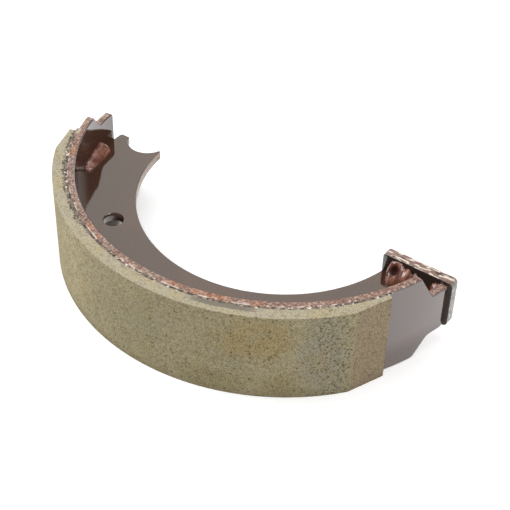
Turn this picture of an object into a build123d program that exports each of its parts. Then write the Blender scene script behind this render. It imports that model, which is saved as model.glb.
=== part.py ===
from build123d import *
import os
from math import asin, cos, degrees, hypot, radians, sin, sqrt

os.makedirs("parts", exist_ok=True)

# Drum brake shoe, lying on its side. The drum's axis is the Z axis, the floor is z = 0, and the
# shoe wraps round the -Y side from the anchor pin (on -X) to the abutment plate (on +X).
# All lengths are in millimetres, and all turns in degrees anticlockwise from +X.

# Drum and lining
drum_radius = 80.0
shoe_width = 35.0
lining_thickness = 4.2
lining_anchor_setback = 9.8    # from the rim's shoulder at the anchor end, along the rim
lining_plate_setback = 13.3    # from the rim's shoulder at the plate end
anchor_taper_length = 12.1
anchor_taper_edge = 2.2        # lining left at the thin end of the taper
plate_taper_length = 14.0
plate_taper_edge = 1.5
bond_thickness = 0.6

# Rim: bent strip with a narrow tab at each end
rim_thickness = 3.0
rim_inner_bevel = 0.3
rim_outer_round = 0.6
anchor_tab_drop = 6.8          # from the drum axis line down to the tab's end
anchor_tab_length = 8.9
anchor_shoulder_run = 4.2
anchor_tab_reach = 11.5        # from the web's middle to the tab's upper and lower edges
anchor_tab_corner_radius = 1.3
anchor_root_radius = 1.5
anchor_shoulder_radius = 1.8
plate_tab_length = 7.2
plate_shoulder_run = 5.6
plate_tab_inset_up = 1.4       # from the plate's upper edge down to the tab's upper edge
plate_tab_reach_down = 10.1
plate_root_radius_up = 0.5
plate_root_radius_down = 3.0
plate_shoulder_radius_up = 0.8
plate_shoulder_radius_down = 2.4
plate_tab_corner_radius = 2.6  # lower corner only, the upper one is left square
plate_tab_corner_overrun = 0.6 # from the plate's face to where the lower corner's round would end

# Web: stamped crescent on the rim's middle line
web_thickness = 3.5
web_edge_bevel = 0.25
anchor_pin_radius = 7.45
anchor_clearance = 0.05
anchor_drop = 1.9              # from the drum axis line down to the pin's middle
ear_drop = 4.2                 # from the drum axis line down to the ears' tips
ear_height = 4.1               # from the outer ear's root to its tip
ear_width = 3.9
ear_gap = 1.5                  # between the outer ear and the rim's tab
ear_corner_radius = 1.3
ear_tip_radius = 0.3
inner_ear_tip = 0.75
hole_radius = 3.5
hole_inset = 8.8               # from the web's inner edge to the spring hole's middle
hole_turn = 49.2               # from the anchor side round to the spring hole

# Abutment plate: sheared block across the end of web and tab
plate_thickness = 4.2
plate_height = 18.8
plate_offset = 0.6             # from the web's middle down to the plate's middle
plate_drop = 11.5              # from the drum axis line down to the face that is welded
plate_overhang = 2.0           # past the rim's outer face
plate_inner_overhang = 0.3     # past the web's inner edge
plate_outer_corner_radius = 1.8
plate_inner_corner_radius = 1.0
plate_seat_round = 0.3
plate_face_round = 0.6

# Weld beads, one above the web and one below it at each place
rim_weld_setback = 6.8         # from the outer ear's root, along the rim
rim_weld_length = 16.2
rim_weld_leg = 4.4
rim_weld_rise = 2.8
plate_weld_setback = 1.4       # from the plate's inner end
plate_weld_length = 12.8
plate_weld_leg = 4.0
plate_weld_rise = 6.2
tab_weld_leg = 3.6
tab_weld_rise = 3.0
tab_weld_setback = 0.25        # from the tab's upper edge down to the bead's end
bead_sink = 0.8                # how far a bead is drawn into the steel before it is trimmed
bead_crown = 0.62              # how far the bead's face bulges: 0.5 is a straight slope

# How the beads swell: share of the length, then share of the full section there
rim_weld_swell = [(0, 0.55), (0.1, 0.95), (0.4, 1), (0.75, 0.7), (0.94, 0.45), (1, 0.2)]
tab_weld_swell = [(-0.2, 1), (0, 1), (0.5, 0.95), (0.85, 0.7), (1, 0.3)]
# The plate weld's leg on the web and its rise up the plate swell on their own
plate_weld_swell = [
    (0, 0.45, 0.15),
    (0.1, 0.85, 0.6),
    (0.25, 1, 0.95),
    (0.45, 0.95, 1),
    (0.65, 0.7, 0.6),
    (0.8, 0.45, 0.4),
    (1, 0.25, 0.2),
]

# Radii that follow from the stack of lining, bond and rim
lining_inner = drum_radius - lining_thickness
rim_outer = lining_inner - bond_thickness
rim_inner = rim_outer - rim_thickness

# Levels across the shoe
middle = shoe_width / 2
web_top = middle + web_thickness / 2
plate_tab_reach_up = plate_height / 2 - plate_offset - plate_tab_inset_up
tab_weld_length = middle + plate_tab_reach_up - tab_weld_setback - web_top
middle_plane = Plane.XY.offset(middle)
web_top_plane = Plane.XY.offset(web_top)
plate_plane = Plane.XZ.offset(plate_drop)


def across(radius, drop):
    # Distance from the Y axis of the point on a circle that lies drop below the X axis
    return sqrt(radius**2 - drop**2)


def arc_turn(length, radius):
    # Degrees that a length takes up round a circle
    return degrees(length / radius)


def on_circle(radius, turn):
    return (radius * cos(radians(turn)), radius * sin(radians(turn)))


# Turns at which the rim's parts end
anchor_end_turn = 180 + degrees(asin(anchor_tab_drop / rim_outer))
anchor_shoulder_turn = anchor_end_turn + arc_turn(anchor_tab_length + anchor_shoulder_run, rim_outer)
plate_end_turn = 360 - degrees(asin(plate_drop / rim_outer))
plate_shoulder_turn = plate_end_turn - arc_turn(plate_tab_length + plate_shoulder_run, rim_outer)

# Turns at which the lining's parts end
lining_start_turn = anchor_shoulder_turn + arc_turn(lining_anchor_setback, rim_outer)
lining_end_turn = plate_shoulder_turn - arc_turn(lining_plate_setback, rim_outer)

# The web is as deep as the anchor notch and its two ears need
notch_radius = anchor_pin_radius + anchor_clearance
notch_half_chord = across(notch_radius, ear_drop - anchor_drop)
ear_root_drop = ear_drop + ear_height
ear_outer_x = across(rim_inner, ear_root_drop) - ear_gap
anchor_x = ear_outer_x - ear_width - notch_half_chord
inner_ear_x = anchor_x - notch_half_chord - inner_ear_tip
web_inner = hypot(inner_ear_x, ear_drop)

# The plate runs from just past the web's inner edge to just past the rim
plate_inner_x = across(web_inner, plate_drop) - plate_inner_overhang
plate_outer_x = across(rim_outer, plate_drop) + plate_overhang


def tab_relief(end_x, tab_length, shoulder_run, reach, corner_radius, root_radius, shoulder_radius):
    # Outline cut away on one side of a tab, with X running along the rim from the tab's end
    waste = shoe_width / 2
    shoulder_x = tab_length + shoulder_run
    flat_end = shoulder_x + 2 * shoulder_radius
    with BuildSketch() as relief:
        with BuildLine():
            FilletPolyline(
                (end_x, 0),
                (end_x, reach),
                (tab_length, reach),
                (shoulder_x, middle),
                (flat_end, middle),
                radius=[corner_radius, root_radius, shoulder_radius],
            )
            Polyline(
                (flat_end, middle),
                (flat_end, middle + waste),
                (end_x - waste, middle + waste),
                (end_x - waste, 0),
                (end_x, 0),
            )
        make_face()
    return relief.sketch


# Planes that touch the rim at its two ends, with X running back along the rim
anchor_end_x, anchor_end_y = on_circle(rim_outer, anchor_end_turn)
anchor_end_plane = Plane(
    origin=(anchor_end_x, anchor_end_y, middle),
    x_dir=(-anchor_end_y, anchor_end_x, 0),
    z_dir=(anchor_end_x, anchor_end_y, 0),
)
plate_end_x, plate_end_y = on_circle(rim_outer, plate_end_turn)
plate_end_plane = Plane(
    origin=(plate_end_x, plate_end_y, middle),
    x_dir=(plate_end_y, -plate_end_x, 0),
    z_dir=(-plate_end_x, -plate_end_y, 0),
)

# Rim: a strip turned round the drum's axis, then narrowed at both ends
with BuildPart() as rim:
    with BuildSketch(Plane.XZ):
        with Locations((-rim_outer, 0)):
            Rectangle(rim_thickness, shoe_width, align=Align.MIN)
    revolve(axis=Axis.Z, revolution_arc=180)
    # The plate's face squares off the far end
    with Locations((rim_outer, -plate_drop, 0)):
        Box(
            2 * rim_outer,
            plate_drop,
            shoe_width,
            align=(Align.CENTER, Align.MIN, Align.MIN),
            mode=Mode.SUBTRACT,
        )
    anchor_relief = tab_relief(0, anchor_tab_length, anchor_shoulder_run, anchor_tab_reach,
                               anchor_tab_corner_radius, anchor_root_radius, anchor_shoulder_radius)
    upper_relief = tab_relief(-plate_drop, plate_tab_length, plate_shoulder_run, plate_tab_reach_up,
                              0, plate_root_radius_up, plate_shoulder_radius_up)
    lower_relief = tab_relief(-plate_tab_corner_overrun, plate_tab_length, plate_shoulder_run,
                              plate_tab_reach_down, plate_tab_corner_radius, plate_root_radius_down,
                              plate_shoulder_radius_down)
    with BuildSketch(anchor_end_plane):
        add(anchor_relief)
        mirror(anchor_relief, about=Plane.XZ)
    extrude(amount=3 * rim_thickness, both=True, mode=Mode.SUBTRACT)
    with BuildSketch(plate_end_plane):
        add(upper_relief)
        mirror(lower_relief, about=Plane.XZ)
    extrude(amount=3 * rim_thickness, both=True, mode=Mode.SUBTRACT)
    inner_face = rim.faces().filter_by(GeomType.CYLINDER).sort_by(SortBy.AREA)[-2]
    plate_seat = rim.faces().filter_by(Plane.XZ).sort_by(Axis.X)[-1]
    chamfer(inner_face.edges() - plate_seat.edges(), rim_inner_bevel)
    outer_face = rim.faces().filter_by(GeomType.CYLINDER).sort_by(SortBy.AREA)[-1]
    plate_seat = rim.faces().filter_by(Plane.XZ).sort_by(Axis.X)[-1]
    fillet(outer_face.edges() - plate_seat.edges(), rim_outer_round)
rim.part.label = "rim"

# Web: crescent with the anchor pin's notch between two ears, and a hole for a spring's hook
with BuildPart() as web:
    with BuildSketch(middle_plane) as web_outline:
        with BuildLine():
            inner_ear = (-across(web_inner, ear_drop), -ear_drop)
            plate_inner = (across(web_inner, plate_drop), -plate_drop)
            plate_corner = (across(rim_inner, plate_drop), -plate_drop)
            ear_root = (-across(rim_inner, ear_root_drop), -ear_root_drop)
            outer_side = (-ear_outer_x, -ear_root_drop)
            outer_corner = (-ear_outer_x, -ear_drop)
            outer_tip = (-anchor_x - notch_half_chord, -ear_drop)
            inner_tip = (-anchor_x + notch_half_chord, -ear_drop)
            ThreePointArc(inner_ear, (0, -web_inner), plate_inner)
            Line(plate_inner, plate_corner)
            ThreePointArc(plate_corner, (0, -rim_inner), ear_root)
            Polyline(ear_root, outer_side, outer_corner, outer_tip)
            ThreePointArc(outer_tip, (-anchor_x, -anchor_drop - notch_radius), inner_tip)
            Line(inner_tip, inner_ear)
        make_face()
        tips = web_outline.vertices().group_by(Axis.Y)[-1].sort_by(Axis.X)
        fillet(tips[0], ear_corner_radius)
        tips = web_outline.vertices().group_by(Axis.Y)[-1].sort_by(Axis.X)
        fillet(tips[1:], ear_tip_radius)
        with Locations(on_circle(web_inner + hole_inset, 180 + hole_turn)):
            Circle(hole_radius, mode=Mode.SUBTRACT)
    extrude(amount=web_thickness / 2, both=True)
    rim_seat = web.faces().filter_by(GeomType.CYLINDER).sort_by(SortBy.AREA)[-1]
    web_seat = web.faces().filter_by(Plane.XZ).sort_by(Axis.Y)[0]
    sheared_edges = web.faces().filter_by(Axis.Z).edges() - rim_seat.edges() - web_seat.edges()
    chamfer(sheared_edges, web_edge_bevel)
web.part.label = "web"

# Abutment plate: a thick sheared block, squarer at its inner end than at its outer end
with BuildPart() as abutment_plate:
    with BuildSketch(plate_plane.shift_origin((0, -plate_drop, middle - plate_offset))):
        with Locations(((plate_inner_x + plate_outer_x) / 2, 0)):
            Rectangle(plate_outer_x - plate_inner_x, plate_height)
    extrude(amount=-plate_thickness)
    corner_edges = abutment_plate.edges().filter_by(Axis.Y).group_by(Axis.X)
    fillet(corner_edges[0], plate_inner_corner_radius)
    fillet(corner_edges[-1], plate_outer_corner_radius)
    flat_faces = abutment_plate.faces().filter_by(Plane.XZ).sort_by(Axis.Y)
    fillet(flat_faces[0].edges(), plate_seat_round)
    flat_faces = abutment_plate.faces().filter_by(Plane.XZ).sort_by(Axis.Y)
    fillet(flat_faces[-1].edges(), plate_face_round)
abutment_plate.part.label = "abutment_plate"

# Lining: one moulded segment, thinned by a flat taper at each end
anchor_taper_turn = lining_start_turn + arc_turn(anchor_taper_length, drum_radius)
plate_taper_turn = lining_end_turn - arc_turn(plate_taper_length, drum_radius)
with BuildPart() as lining:
    with BuildSketch():
        with BuildLine():
            start_inner = on_circle(lining_inner, lining_start_turn)
            start_outer = on_circle(lining_inner + anchor_taper_edge, lining_start_turn)
            end_inner = on_circle(lining_inner, lining_end_turn)
            end_outer = on_circle(lining_inner + plate_taper_edge, lining_end_turn)
            anchor_crest = on_circle(drum_radius, anchor_taper_turn)
            plate_crest = on_circle(drum_radius, plate_taper_turn)
            ThreePointArc(start_inner, (0, -lining_inner), end_inner)
            Polyline(end_inner, end_outer, plate_crest)
            ThreePointArc(plate_crest, (0, -drum_radius), anchor_crest)
            Polyline(anchor_crest, start_outer, start_inner)
        make_face()
    extrude(amount=shoe_width)
lining.part.label = "lining"

# Bond layer: the film of adhesive under the whole lining
with BuildPart() as bond_layer:
    with BuildSketch():
        with BuildLine():
            bond_start = on_circle(rim_outer, lining_start_turn)
            bond_end = on_circle(rim_outer, lining_end_turn)
            ThreePointArc(bond_start, (0, -rim_outer), bond_end)
            Line(bond_end, end_inner)
            ThreePointArc(end_inner, (0, -lining_inner), start_inner)
            Line(start_inner, bond_start)
        make_face()
    extrude(amount=shoe_width)
bond_layer.part.label = "bond_layer"


def bead_section(leg, rise):
    # Section of a bead in the corner at the origin, with its two buried sides inside the steel
    with BuildSketch() as section:
        with BuildLine():
            crown = (bead_crown * leg, bead_crown * rise)
            Polyline(
                (leg, 0),
                (leg, -bead_sink),
                (-bead_sink, -bead_sink),
                (-bead_sink, rise),
                (0, rise),
            )
            ThreePointArc((0, rise), crown, (leg, 0))
        make_face()
    return section.sketch


# Rim weld: swells from a thin start to a blunt end by the outer ear
with BuildPart() as rim_weld_upper:
    ear_root_turn = 180 + degrees(asin(ear_root_drop / rim_inner))
    weld_end_turn = ear_root_turn + arc_turn(rim_weld_setback, rim_inner)
    for share, swell in rim_weld_swell:
        turn = weld_end_turn + share * arc_turn(rim_weld_length, rim_inner)
        corner_x, corner_y = on_circle(rim_inner, turn)
        station = Plane(
            origin=(corner_x, corner_y, web_top),
            x_dir=(-corner_x, -corner_y, 0),
            z_dir=(-corner_y, corner_x, 0),
        )
        with BuildSketch(station):
            add(bead_section(swell * rim_weld_leg, swell * rim_weld_rise))
    loft(ruled=True)
    Cylinder(rim_inner, shoe_width, align=(Align.CENTER, Align.CENTER, Align.MIN), mode=Mode.INTERSECT)
    split(bisect_by=web_top_plane)
rim_weld_upper.part.label = "rim_weld_upper"

# Plate weld: a lump beside the plate's inner end, with a thin tail towards the rim
with BuildPart() as plate_weld_upper:
    weld_start_x = plate_inner_x + plate_weld_setback
    for share, leg_share, rise_share in plate_weld_swell:
        station = Plane(
            origin=(weld_start_x + share * plate_weld_length, -plate_drop, web_top),
            x_dir=(0, -1, 0),
            z_dir=(-1, 0, 0),
        )
        with BuildSketch(station):
            add(bead_section(leg_share * plate_weld_leg, rise_share * plate_weld_rise))
    loft(ruled=True)
    split(bisect_by=web_top_plane)
    split(bisect_by=plate_plane)
plate_weld_upper.part.label = "plate_weld_upper"

# Tab weld: a short upright bead in the corner of tab and plate
with BuildPart() as tab_weld_upper:
    for share, swell in tab_weld_swell:
        station = Plane(
            origin=(across(rim_inner, plate_drop), -plate_drop, web_top + share * tab_weld_length),
            x_dir=(-1, 0, 0),
            z_dir=(0, 0, 1),
        )
        with BuildSketch(station):
            add(bead_section(swell * tab_weld_leg, swell * tab_weld_rise))
    loft(ruled=True)
    Cylinder(rim_inner, shoe_width, align=(Align.CENTER, Align.CENTER, Align.MIN), mode=Mode.INTERSECT)
    split(bisect_by=web_top_plane)
    split(bisect_by=plate_plane)
tab_weld_upper.part.label = "tab_weld_upper"

# The same three beads below the web
with BuildPart() as rim_weld_lower:
    mirror(rim_weld_upper.part, about=middle_plane)
rim_weld_lower.part.label = "rim_weld_lower"

with BuildPart() as plate_weld_lower:
    mirror(plate_weld_upper.part, about=middle_plane)
plate_weld_lower.part.label = "plate_weld_lower"

with BuildPart() as tab_weld_lower:
    mirror(tab_weld_upper.part, about=middle_plane)
tab_weld_lower.part.label = "tab_weld_lower"

export_step(rim.part, "parts/rim.step")
export_step(web.part, "parts/web.step")
export_step(abutment_plate.part, "parts/abutment_plate.step")
export_step(lining.part, "parts/lining.step")
export_step(bond_layer.part, "parts/bond_layer.step")
export_step(rim_weld_upper.part, "parts/rim_weld_upper.step")
export_step(rim_weld_lower.part, "parts/rim_weld_lower.step")
export_step(plate_weld_upper.part, "parts/plate_weld_upper.step")
export_step(plate_weld_lower.part, "parts/plate_weld_lower.step")
export_step(tab_weld_upper.part, "parts/tab_weld_upper.step")
export_step(tab_weld_lower.part, "parts/tab_weld_lower.step")
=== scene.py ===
import bpy, bmesh, math
from mathutils import Euler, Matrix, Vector, noise


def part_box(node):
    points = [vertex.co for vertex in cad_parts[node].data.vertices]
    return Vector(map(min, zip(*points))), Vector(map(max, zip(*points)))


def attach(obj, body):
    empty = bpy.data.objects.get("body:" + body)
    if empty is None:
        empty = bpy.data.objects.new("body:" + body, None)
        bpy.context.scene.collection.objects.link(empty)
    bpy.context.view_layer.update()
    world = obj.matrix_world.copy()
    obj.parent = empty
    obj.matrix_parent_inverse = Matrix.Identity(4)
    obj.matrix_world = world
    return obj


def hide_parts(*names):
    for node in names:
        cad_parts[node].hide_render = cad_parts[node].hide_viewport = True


# A bonded brake shoe that lies on its side, in metres: Z is up and the drum's axis stands at X 0, Y 0
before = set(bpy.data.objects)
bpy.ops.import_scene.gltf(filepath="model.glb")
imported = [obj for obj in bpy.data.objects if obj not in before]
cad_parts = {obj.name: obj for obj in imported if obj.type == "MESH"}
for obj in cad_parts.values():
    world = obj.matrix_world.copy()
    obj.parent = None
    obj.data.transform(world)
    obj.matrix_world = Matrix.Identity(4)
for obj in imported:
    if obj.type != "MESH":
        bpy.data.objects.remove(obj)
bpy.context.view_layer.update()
millimetre = 0.001
print("frame loaded")

# small helpers for meshes
levelFace = 0.999     # a face whose normal is this upright counts as level
roundFace = 0.985     # one whose normal is this much along the drum's radius counts as round
mergeDistance = 0.001 * millimetre


def easedTable(place, table):
    # Eased reading of a table of (place, value)
    if place <= table[0][0]:
        return table[0][1]
    for (placeA, valueA), (placeB, valueB) in zip(table, table[1:]):
        if place <= placeB:
            part = (place - placeA) / (placeB - placeA)
            return valueA + (valueB - valueA) * part * part * (3 - 2 * part)
    return table[-1][1]


def smoothMesh(mesh, sharpAngle):
    # Level faces stay flat, the rest is smooth where neighbours meet below the sharp angle
    mesh.set_sharp_from_angle(angle=math.radians(sharpAngle))
    for face in mesh.polygons:
        face.use_smooth = abs(face.normal.z) < levelFace


def mergeDoubles(mesh, turnOutward=False):
    shape = bmesh.new()
    shape.from_mesh(mesh)
    bmesh.ops.remove_doubles(shape, verts=shape.verts, dist=mergeDistance)
    if turnOutward:
        bmesh.ops.recalc_face_normals(shape, faces=shape.faces)
    shape.to_mesh(mesh)
    shape.free()


def mergedCopy(nodeName, sharpAngle=32):
    # The frame's own mesh is left alone: its copy is merged and smoothed
    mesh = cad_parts[nodeName].data.copy()
    mergeDoubles(mesh)
    smoothMesh(mesh, sharpAngle)
    return mesh


def roundNormals(mesh):
    # Faces that follow the drum's circle take their normals from its centre line
    normals = [corner.vector.copy() for corner in mesh.corner_normals]
    for face in mesh.polygons:
        for loop in face.loop_indices:
            spot = mesh.vertices[mesh.loops[loop].vertex_index].co
            ray = Vector((spot.x, spot.y, 0)).normalized()
            lean = face.normal.dot(ray)
            if abs(lean) > roundFace:
                normals[loop] = ray * math.copysign(1, lean)
    mesh.normals_split_custom_set(normals)


def addPiece(name, mesh, material, slotName, *replaced):
    piece = bpy.data.objects.new(name, mesh)
    bpy.context.scene.collection.objects.link(piece)
    mesh.materials.clear()
    mesh.materials.append(material)
    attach(piece, "root")
    if replaced:
        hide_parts(*replaced)
    return piece


# small helpers for colours and node trees

def screenColour(red, green, blue):
    # 0 to 255 as seen on a screen, turned into the linear values that sockets take
    def linear(value):
        value = value / 255
        return value / 12.92 if value <= 0.04045 else ((value + 0.055) / 1.055) ** 2.4
    return (linear(red), linear(green), linear(blue), 1.0)


def put(tree, kind, sockets=None, **settings):
    # A new node: its settings by name, its sockets each with a link or a fixed value
    made = tree.nodes.new(kind)
    for name, value in settings.items():
        setattr(made, name, value)
    for name, value in (sockets or {}).items():
        if isinstance(value, bpy.types.NodeSocket):
            tree.links.new(value, made.inputs[name])
        else:
            made.inputs[name].default_value = value
    return made


def newGroup(name, inputs, outputs):
    # Inputs by name, numbers with their usual value and places with None; all outputs are numbers
    tree = bpy.data.node_groups.new(name, "ShaderNodeTree")
    for label, usual in inputs.items():
        kind = "NodeSocketVector" if usual is None else "NodeSocketFloat"
        made = tree.interface.new_socket(label, in_out="INPUT", socket_type=kind)
        if usual is not None:
            made.default_value = usual
    for label in outputs:
        tree.interface.new_socket(label, in_out="OUTPUT", socket_type="NodeSocketFloat")
    return tree, tree.nodes.new("NodeGroupInput").outputs, tree.nodes.new("NodeGroupOutput").inputs


def maths(tree, operation, first, second=0.0):
    return put(tree, "ShaderNodeMath", {0: first, 1: second}, operation=operation).outputs[0]


def times(tree, first, *others):
    for other in others:
        first = maths(tree, "MULTIPLY", first, other)
    return first


def vectorMaths(tree, operation, first, second=(0.0, 0.0, 0.0)):
    return put(tree, "ShaderNodeVectorMath", {0: first, 1: second}, operation=operation).outputs


def scaled(tree, vector, scale):
    return put(tree, "ShaderNodeVectorMath", {0: vector, "Scale": scale}, operation="SCALE").outputs[0]


def axes(tree, vector):
    return put(tree, "ShaderNodeSeparateXYZ", {"Vector": vector}).outputs


def ramp(tree, value, low, high, toLow=0.0, toHigh=1.0):
    return put(tree, "ShaderNodeMapRange",
               {"Value": value, "From Min": low, "From Max": high, "To Min": toLow, "To Max": toHigh},
               interpolation_type="SMOOTHSTEP").outputs["Result"]


def between(tree, mask, whereNone, whereFull):
    return ramp(tree, mask, 0.0, 1.0, whereNone, whereFull)


def blend(tree, mask, under, over):
    # Colour over laid on colour under where the mask is 1
    return put(tree, "ShaderNodeMix", {0: mask, 6: under, 7: over}, data_type="RGBA").outputs[2]


def cloud(tree, place, scale, detail):
    return put(tree, "ShaderNodeTexNoise", {"Vector": place, "Scale": scale, "Detail": detail}).outputs["Fac"]


def startMaterial(name, gloss):
    # gloss holds what is the same all over the surface
    material = bpy.data.materials.new(name)
    material.use_nodes = True
    tree = material.node_tree
    shader = tree.nodes["Principled BSDF"]
    for socket, value in gloss.items():
        shader.inputs[socket].default_value = value
    place = tree.nodes.new("ShaderNodeTexCoord").outputs["Object"]
    return material, tree, shader, place


def faceNormal(tree):
    return tree.nodes.new("ShaderNodeTexCoord").outputs["Normal"]


def finishMaterial(tree, shader, colour, rough, height, relief):
    tree.links.new(colour, shader.inputs["Base Color"])
    tree.links.new(rough, shader.inputs["Roughness"])
    bump = put(tree, "ShaderNodeBump", {"Height": height, **relief})
    tree.links.new(bump.outputs["Normal"], shader.inputs["Normal"])


# effects that the materials share

def makeRingPlace():
    # Where a point lies round the drum's axis, and how far its face looks upwards
    tree, _, result = newGroup("ringPlace", {}, ["Radius", "Turn", "Upward", "Height"])
    where = tree.nodes.new("ShaderNodeTexCoord").outputs
    spot = axes(tree, where["Object"])
    flat = put(tree, "ShaderNodeCombineXYZ", {"X": spot["X"], "Y": spot["Y"]}).outputs[0]
    angle = maths(tree, "ARCTAN2", spot["Y"], spot["X"])
    for label, value in (("Radius", vectorMaths(tree, "LENGTH", flat)["Value"]),
                         ("Turn", maths(tree, "FRACT", maths(tree, "DIVIDE", angle, 2 * math.pi))),
                         ("Upward", axes(tree, where["Normal"])["Z"]),
                         ("Height", spot["Z"])):
        tree.links.new(value, result[label])
    return tree


def makeMottle():
    # Soft-edged blotches of noise between a low and a high threshold
    tree, given, result = newGroup(
        "mottle", {"Place": None, "Scale": 100.0, "Detail": 3.0, "Low": 0.4, "High": 0.6}, ["Mask"])
    blotches = cloud(tree, given["Place"], given["Scale"], given["Detail"])
    tree.links.new(ramp(tree, blotches, given["Low"], given["High"]), result["Mask"])
    return tree


def makeSpecks():
    # Scattered round specks: Share of the cells hold one, and Size is its reach inside the cell
    tree, given, result = newGroup(
        "specks", {"Place": None, "Scale": 900.0, "Size": 0.35, "Share": 0.3}, ["Mask"])
    warp = put(tree, "ShaderNodeTexNoise", {"Vector": given["Place"], "Scale": given["Scale"], "Detail": 2.0})
    shift = scaled(tree, warp.outputs["Color"], 0.6 * millimetre)
    bent = vectorMaths(tree, "ADD", given["Place"], shift)[0]
    cells = put(tree, "ShaderNodeTexVoronoi", {"Vector": bent, "Scale": given["Scale"]}).outputs
    chance = put(tree, "ShaderNodeSeparateColor", {"Color": cells["Color"]}).outputs["Red"]
    chosen = maths(tree, "LESS_THAN", chance, given["Share"])
    dot = ramp(tree, cells["Distance"], given["Size"], times(tree, given["Size"], 0.6))
    tree.links.new(times(tree, dot, chosen), result["Mask"])
    return tree


ringPlace = makeRingPlace()
mottle = makeMottle()
specks = makeSpecks()


def mottled(tree, place, pattern):
    return put(tree, "ShaderNodeGroup", {"Place": place, **pattern}, node_tree=mottle).outputs["Mask"]


def speckled(tree, place, pattern):
    return put(tree, "ShaderNodeGroup", {"Place": place, **pattern}, node_tree=specks).outputs["Mask"]


def placeOnRing(tree):
    # The shared group's outputs, and the turn in degrees
    ring = put(tree, "ShaderNodeGroup", node_tree=ringPlace).outputs
    return ring, times(tree, ring["Turn"], 360.0)


def stretches(tree, turn, places, softness):
    # 1 on stretches round the ring, each given by its middle and half width in degrees
    covered = None
    for middle, half in places:
        away = maths(tree, "ABSOLUTE", maths(tree, "SUBTRACT", turn, float(middle)))
        one = ramp(tree, away, half + softness, half - softness)
        covered = one if covered is None else maths(tree, "MAXIMUM", covered, one)
    return covered


print("shared effects made")

# rim and web: glossy maroon paint, thin on the sheared edges
paintLook = {
    "dark": screenColour(70, 41, 27),
    "warm": screenColour(82, 49, 33),
    "flakes": screenColour(98, 76, 65),
    "sheared": screenColour(160, 134, 120),
    "shearedCopper": screenColour(146, 106, 90),
    "shearedOrange": screenColour(174, 120, 88),
    "shearedPale": screenColour(236, 216, 200),
    "shearedDark": screenColour(58, 40, 32),
    "webSheared": screenColour(176, 160, 150),
    "webGloss": {"Specular Tint": (0.96, 0.94, 0.86, 1.0)},
    "paintIor": 2.15,
    "shearedIor": 1.5,
    "paintRough": 0.07,
    "shearedRough": 0.36,
    # painted shade: the outer face reflects less near its lower edge, in place of the shadowed floor that it
    # mirrors: by how much, and from which height to which
    "lowReflectionShade": 0.3,
    "lowEdge": (14.0 * millimetre, 5.0 * millimetre),
    # stretches of the rim's edge, as middle and half width of the turn in degrees
    "orangeStretches": [(212, 2.5), (248, 4), (277, 2.2), (287, 5), (297, 3.2)],
    "copperStretches": [(204, 7), (263, 6), (320, 22), (346, 8)],
    # stretches of the rolled edge that get painted highlights
    "paintedHighlightStretches": [(222.6, 0.9), (229.5, 1.2), (237, 1.2), (248, 3.2), (266.5, 2.2), (277, 2.2),
                        (285.6, 1.4), (294.7, 1.6), (305, 1.1), (317.5, 0.7)],
    "pittedStretches": [(229, 17)],
    # radii between which pits and nicks (the nicks partly painted glints) set in, and between which the edge
    # rolls over and gets painted highlights
    "pitRadii": (73.6 * millimetre, 74.6 * millimetre),
    "rollRadii": (74.3 * millimetre, 74.7 * millimetre),
    # the spring hole keeps its paint: its middle, and the distances between which the bare edge sets in
    "springHole": (-39.379 * millimetre, -45.621 * millimetre, 17.5 * millimetre),
    "holeReach": (4.6 * millimetre, 5.2 * millimetre),
    # blotches and specks
    "rimCloud": {"Scale": 70.0, "Low": 0.35, "High": 0.7},
    "webCloud": {"Scale": 45.0, "Low": 0.35, "High": 0.7},
    "rimStreaks": {"Scale": 520.0, "Detail": 5.0, "Low": 0.4, "High": 0.64},
    "webStreaks": {"Scale": 500.0, "Detail": 5.0, "Low": 0.4, "High": 0.65},
    "ragged": {"Scale": 330.0, "Low": 0.34, "High": 0.5},
    "pits": {"Scale": 800.0, "Low": 0.53, "High": 0.58},
    # nicks that are partly painted glints, then spots of painted highlight
    "nicksAndGlints": {"Scale": 560.0, "Low": 0.56, "High": 0.61},
    "paintedHighlightSpots": {"Scale": 300.0, "Low": 0.4, "High": 0.5},
    "dust": {"Scale": 190.0, "Size": 0.11, "Share": 0.07},
    # noises, as scale and detail
    "flakeNoise": (1300.0, 3.0),
    "grainNoise": (1500.0, 4.0),
    "fineNoise": (1100.0, 4.0),
    "rimPeelNoise": (170.0, 3.0),
    "webPeelNoise": (420.0, 3.0),
    "rimPeelHeight": 0.14,
    "webPeelHeight": 0.1,
    "rimRelief": {"Strength": 0.7, "Distance": 0.3 * millimetre},
    "webRelief": {"Strength": 0.6, "Distance": 0.3 * millimetre},
}


def paintHeight(tree, place, peelNoise, peelHeight, sheared):
    # Orange peel with fine grain, which stands higher where the steel is sheared
    peel = times(tree, cloud(tree, place, *peelNoise), peelHeight)
    fine = times(tree, cloud(tree, place, *paintLook["fineNoise"]), between(tree, sheared, 0.028, 0.9))
    return maths(tree, "ADD", peel, fine)


def paintColour(tree, place, pattern):
    look = paintLook
    paint = blend(tree, mottled(tree, place, pattern), look["dark"], look["warm"])
    flakes = ramp(tree, cloud(tree, place, *look["flakeNoise"]), 0.4, 0.8, 0.0, 0.5)
    return blend(tree, flakes, paint, look["flakes"])


def outwardFacing(tree):
    # How far a face looks away from the drum's axis, in plain nodes because it feeds the IOR
    where = tree.nodes.new("ShaderNodeTexCoord").outputs
    flat = vectorMaths(tree, "MULTIPLY", where["Object"], (1.0, 1.0, 0.0))[0]
    ray = vectorMaths(tree, "NORMALIZE", flat)[0]
    return vectorMaths(tree, "DOT_PRODUCT", ray, where["Normal"])["Value"]


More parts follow.
